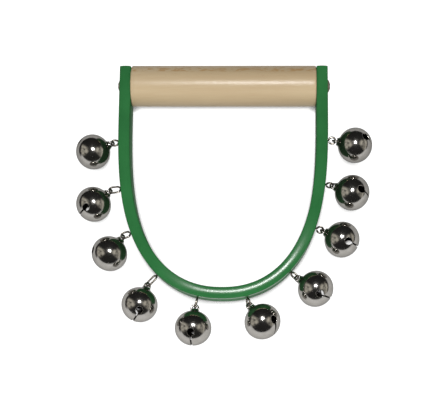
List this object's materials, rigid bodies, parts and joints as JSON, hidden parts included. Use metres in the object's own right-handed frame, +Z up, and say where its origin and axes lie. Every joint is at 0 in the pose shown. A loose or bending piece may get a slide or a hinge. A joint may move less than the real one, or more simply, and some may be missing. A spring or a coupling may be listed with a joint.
{
  "type": "jingle ring",
  "caption": "Hand-held jingle ring: a wooden handle closes a bowed plastic strap that carries loosely linked slotted bells on wire eyes.",
  "frame": {"origin": "on the table that the ring lies on, under the middle of its outer box", "axes": "+X along the handle, +Y from the bow of the strap to the handle, +Z up, square to the table"},
  "size_m": [0.1829, 0.1736, 0.0254],
  "materials": {
    "strap_green": "glossy moulded green plastic",
    "handle_wood": "clear-lacquered pale hardwood",
    "screw_steel": "dull plated steel",
    "eye_wire": "bright nickel-plated wire",
    "bell_nickel": "bright nickel-plated steel sheet",
    "pellet_steel": "plain steel ball"
  },
  "bodies": {
    "frame": {"strap": "strap_green", "handle": "handle_wood", "screw_left": "screw_steel", "screw_right": "screw_steel"},
    "eye_01": {"eye_01": "eye_wire"},
    "bell_01": {"bell_01": "bell_nickel"},
    "pellet_01": {"pellet_01": "pellet_steel"},
    "eye_02": {"eye_02": "eye_wire"},
    "bell_02": {"bell_02": "bell_nickel"},
    "pellet_02": {"pellet_02": "pellet_steel"},
    "eye_03": {"eye_03": "eye_wire"},
    "bell_03": {"bell_03": "bell_nickel"},
    "pellet_03": {"pellet_03": "pellet_steel"},
    "eye_04": {"eye_04": "eye_wire"},
    "bell_04": {"bell_04": "bell_nickel"},
    "pellet_04": {"pellet_04": "pellet_steel"},
    "eye_05": {"eye_05": "eye_wire"},
    "bell_05": {"bell_05": "bell_nickel"},
    "pellet_05": {"pellet_05": "pellet_steel"},
    "eye_06": {"eye_06": "eye_wire"},
    "bell_06": {"bell_06": "bell_nickel"},
    "pellet_06": {"pellet_06": "pellet_steel"},
    "eye_07": {"eye_07": "eye_wire"},
    "bell_07": {"bell_07": "bell_nickel"},
    "pellet_07": {"pellet_07": "pellet_steel"},
    "eye_08": {"eye_08": "eye_wire"},
    "bell_08": {"bell_08": "bell_nickel"},
    "pellet_08": {"pellet_08": "pellet_steel"},
    "eye_09": {"eye_09": "eye_wire"},
    "bell_09": {"bell_09": "bell_nickel"},
    "pellet_09": {"pellet_09": "pellet_steel"},
    "eye_10": {"eye_10": "eye_wire"},
    "bell_10": {"bell_10": "bell_nickel"},
    "pellet_10": {"pellet_10": "pellet_steel"}
  },
  "joints": [
    {"name": "eye_01_turn", "type": "hinge", "parent": "frame", "child": "eye_01", "pos_m": [-0.06415, 0.03813, 0.01182], "axis": [-0.9998, -0.0219, -0.0005], "range_deg": [-110, 70]},
    {"name": "bell_01_swing", "type": "hinge", "parent": "eye_01", "child": "bell_01", "pos_m": [-0.06932, 0.03738, 0.01203], "axis": [0.3517, -0.8863, 0.3013], "range_deg": [-61.4, 38.6]},
    {"name": "pellet_01_rattle", "type": "slide", "parent": "bell_01", "child": "pellet_01", "axis": [0, 0, 1], "range_m": [0, 0.01276]},
    {"name": "eye_02_turn", "type": "hinge", "parent": "frame", "child": "eye_02", "pos_m": [-0.06212, 0.00903, 0.01112], "axis": [-0.9909, -0.1345, -0.0032], "range_deg": [-110, 70]},
    {"name": "bell_02_swing", "type": "hinge", "parent": "eye_02", "child": "bell_02", "pos_m": [-0.06958, 0.00708, 0.0114], "axis": [0.593, -0.7547, 0.2806], "range_deg": [-61.1, 38.9]},
    {"name": "pellet_02_rattle", "type": "slide", "parent": "bell_02", "child": "pellet_02", "axis": [0, 0, 1], "range_m": [0, 0.01276]},
    {"name": "eye_03_turn", "type": "hinge", "parent": "frame", "child": "eye_03", "pos_m": [-0.0555, -0.01832, 0.01046], "axis": [-0.9344, -0.3562, -0.0086], "range_deg": [-115, 65]},
    {"name": "bell_03_swing", "type": "hinge", "parent": "eye_03", "child": "bell_03", "pos_m": [-0.06099, -0.0214, 0.01081], "axis": [0.7499, -0.5604, 0.3516], "range_deg": [-61.1, 38.9]},
    {"name": "pellet_03_rattle", "type": "slide", "parent": "bell_03", "child": "pellet_03", "axis": [0, 0, 1], "range_m": [0, 0.01276]},
    {"name": "eye_04_turn", "type": "hinge", "parent": "frame", "child": "eye_04", "pos_m": [-0.03912, -0.04404, 0.00984], "axis": [-0.6925, -0.7212, -0.0174], "range_deg": [-140, 40]},
    {"name": "bell_04_swing", "type": "hinge", "parent": "eye_04", "child": "bell_04", "pos_m": [-0.04491, -0.05068, 0.01018], "axis": [0.6651, -0.2015, 0.7191], "range_deg": [-64, 36]},
    {"name": "pellet_04_rattle", "type": "slide", "parent": "bell_04", "child": "pellet_04", "axis": [0, 0, 1], "range_m": [0, 0.01276]},
    {"name": "eye_05_turn", "type": "hinge", "parent": "frame", "child": "eye_05", "pos_m": [-0.01448, -0.05741, 0.00951], "axis": [-0.2245, -0.9742, -0.0235], "range_deg": [-180, 0]},
    {"name": "bell_05_swing", "type": "hinge", "parent": "eye_05", "child": "bell_05", "pos_m": [-0.01594, -0.06373, 0.00963], "axis": [0.0305, 0.1083, 0.9936], "range_deg": [-58.9, 41.1]},
    {"name": "pellet_05_rattle", "type": "slide", "parent": "bell_05", "child": "pellet_05", "axis": [0, 0, 1], "range_m": [0, 0.01276]},
    {"name": "eye_06_turn", "type": "hinge", "parent": "frame", "child": "eye_06", "pos_m": [0.01542, -0.05718, 0.00952], "axis": [0.2417, -0.9701, -0.0234], "range_deg": [-155, 25]},
    {"name": "bell_06_swing", "type": "hinge", "parent": "eye_06", "child": "bell_06", "pos_m": [0.01691, -0.06219, 0.00992], "axis": [0.3224, 0.3582, 0.8762], "range_deg": [-69.7, 30.3]},
    {"name": "pellet_06_rattle", "type": "slide", "parent": "bell_06", "child": "pellet_06", "axis": [0, 0, 1], "range_m": [0, 0.01276]},
    {"name": "eye_07_turn", "type": "hinge", "parent": "frame", "child": "eye_07", "pos_m": [0.04144, -0.04168, 0.00989], "axis": [0.733, -0.6801, -0.0164], "range_deg": [-150, 30]},
    {"name": "bell_07_swing", "type": "hinge", "parent": "eye_07", "child": "bell_07", "pos_m": [0.04586, -0.04555, 0.01011], "axis": [0.2041, 0.4611, 0.8635], "range_deg": [-57.9, 42.1]},
    {"name": "pellet_07_rattle", "type": "slide", "parent": "bell_07", "child": "pellet_07", "axis": [0, 0, 1], "range_m": [0, 0.01276]},
    {"name": "eye_08_turn", "type": "hinge", "parent": "frame", "child": "eye_08", "pos_m": [0.05669, -0.015, 0.01054], "axis": [0.9469, -0.3216, -0.0078], "range_deg": [-120, 60]},
    {"name": "bell_08_swing", "type": "hinge", "parent": "eye_08", "child": "bell_08", "pos_m": [0.06129, -0.01667, 0.01043], "axis": [0.3375, 0.7859, 0.5181], "range_deg": [-44.2, 55.8]},
    {"name": "pellet_08_rattle", "type": "slide", "parent": "bell_08", "child": "pellet_08", "axis": [0, 0, 1], "range_m": [0, 0.01276]},
    {"name": "eye_09_turn", "type": "hinge", "parent": "frame", "child": "eye_09", "pos_m": [0.06251, 0.01206, 0.01119], "axis": [0.9931, -0.1175, -0.0028], "range_deg": [-145, 35]},
    {"name": "bell_09_swing", "type": "hinge", "parent": "eye_09", "child": "bell_09", "pos_m": [0.06734, 0.01135, 0.01097], "axis": [0.1889, 0.5311, 0.826], "range_deg": [-39, 51]},
    {"name": "pellet_09_rattle", "type": "slide", "parent": "bell_09", "child": "pellet_09", "axis": [0, 0, 1], "range_m": [0, 0.01276]},
    {"name": "eye_10_turn", "type": "hinge", "parent": "frame", "child": "eye_10", "pos_m": [0.06418, 0.03984, 0.01186], "axis": [0.9998, -0.0183, -0.0004], "range_deg": [-105, 75]},
    {"name": "bell_10_swing", "type": "hinge", "parent": "eye_10", "child": "bell_10", "pos_m": [0.06904, 0.0394, 0.01176], "axis": [0.1994, 0.9399, 0.2773], "range_deg": [-50.6, 49.4]},
    {"name": "pellet_10_rattle", "type": "slide", "parent": "bell_10", "child": "pellet_10", "axis": [0, 0, 1], "range_m": [0, 0.01276]}
  ]
}
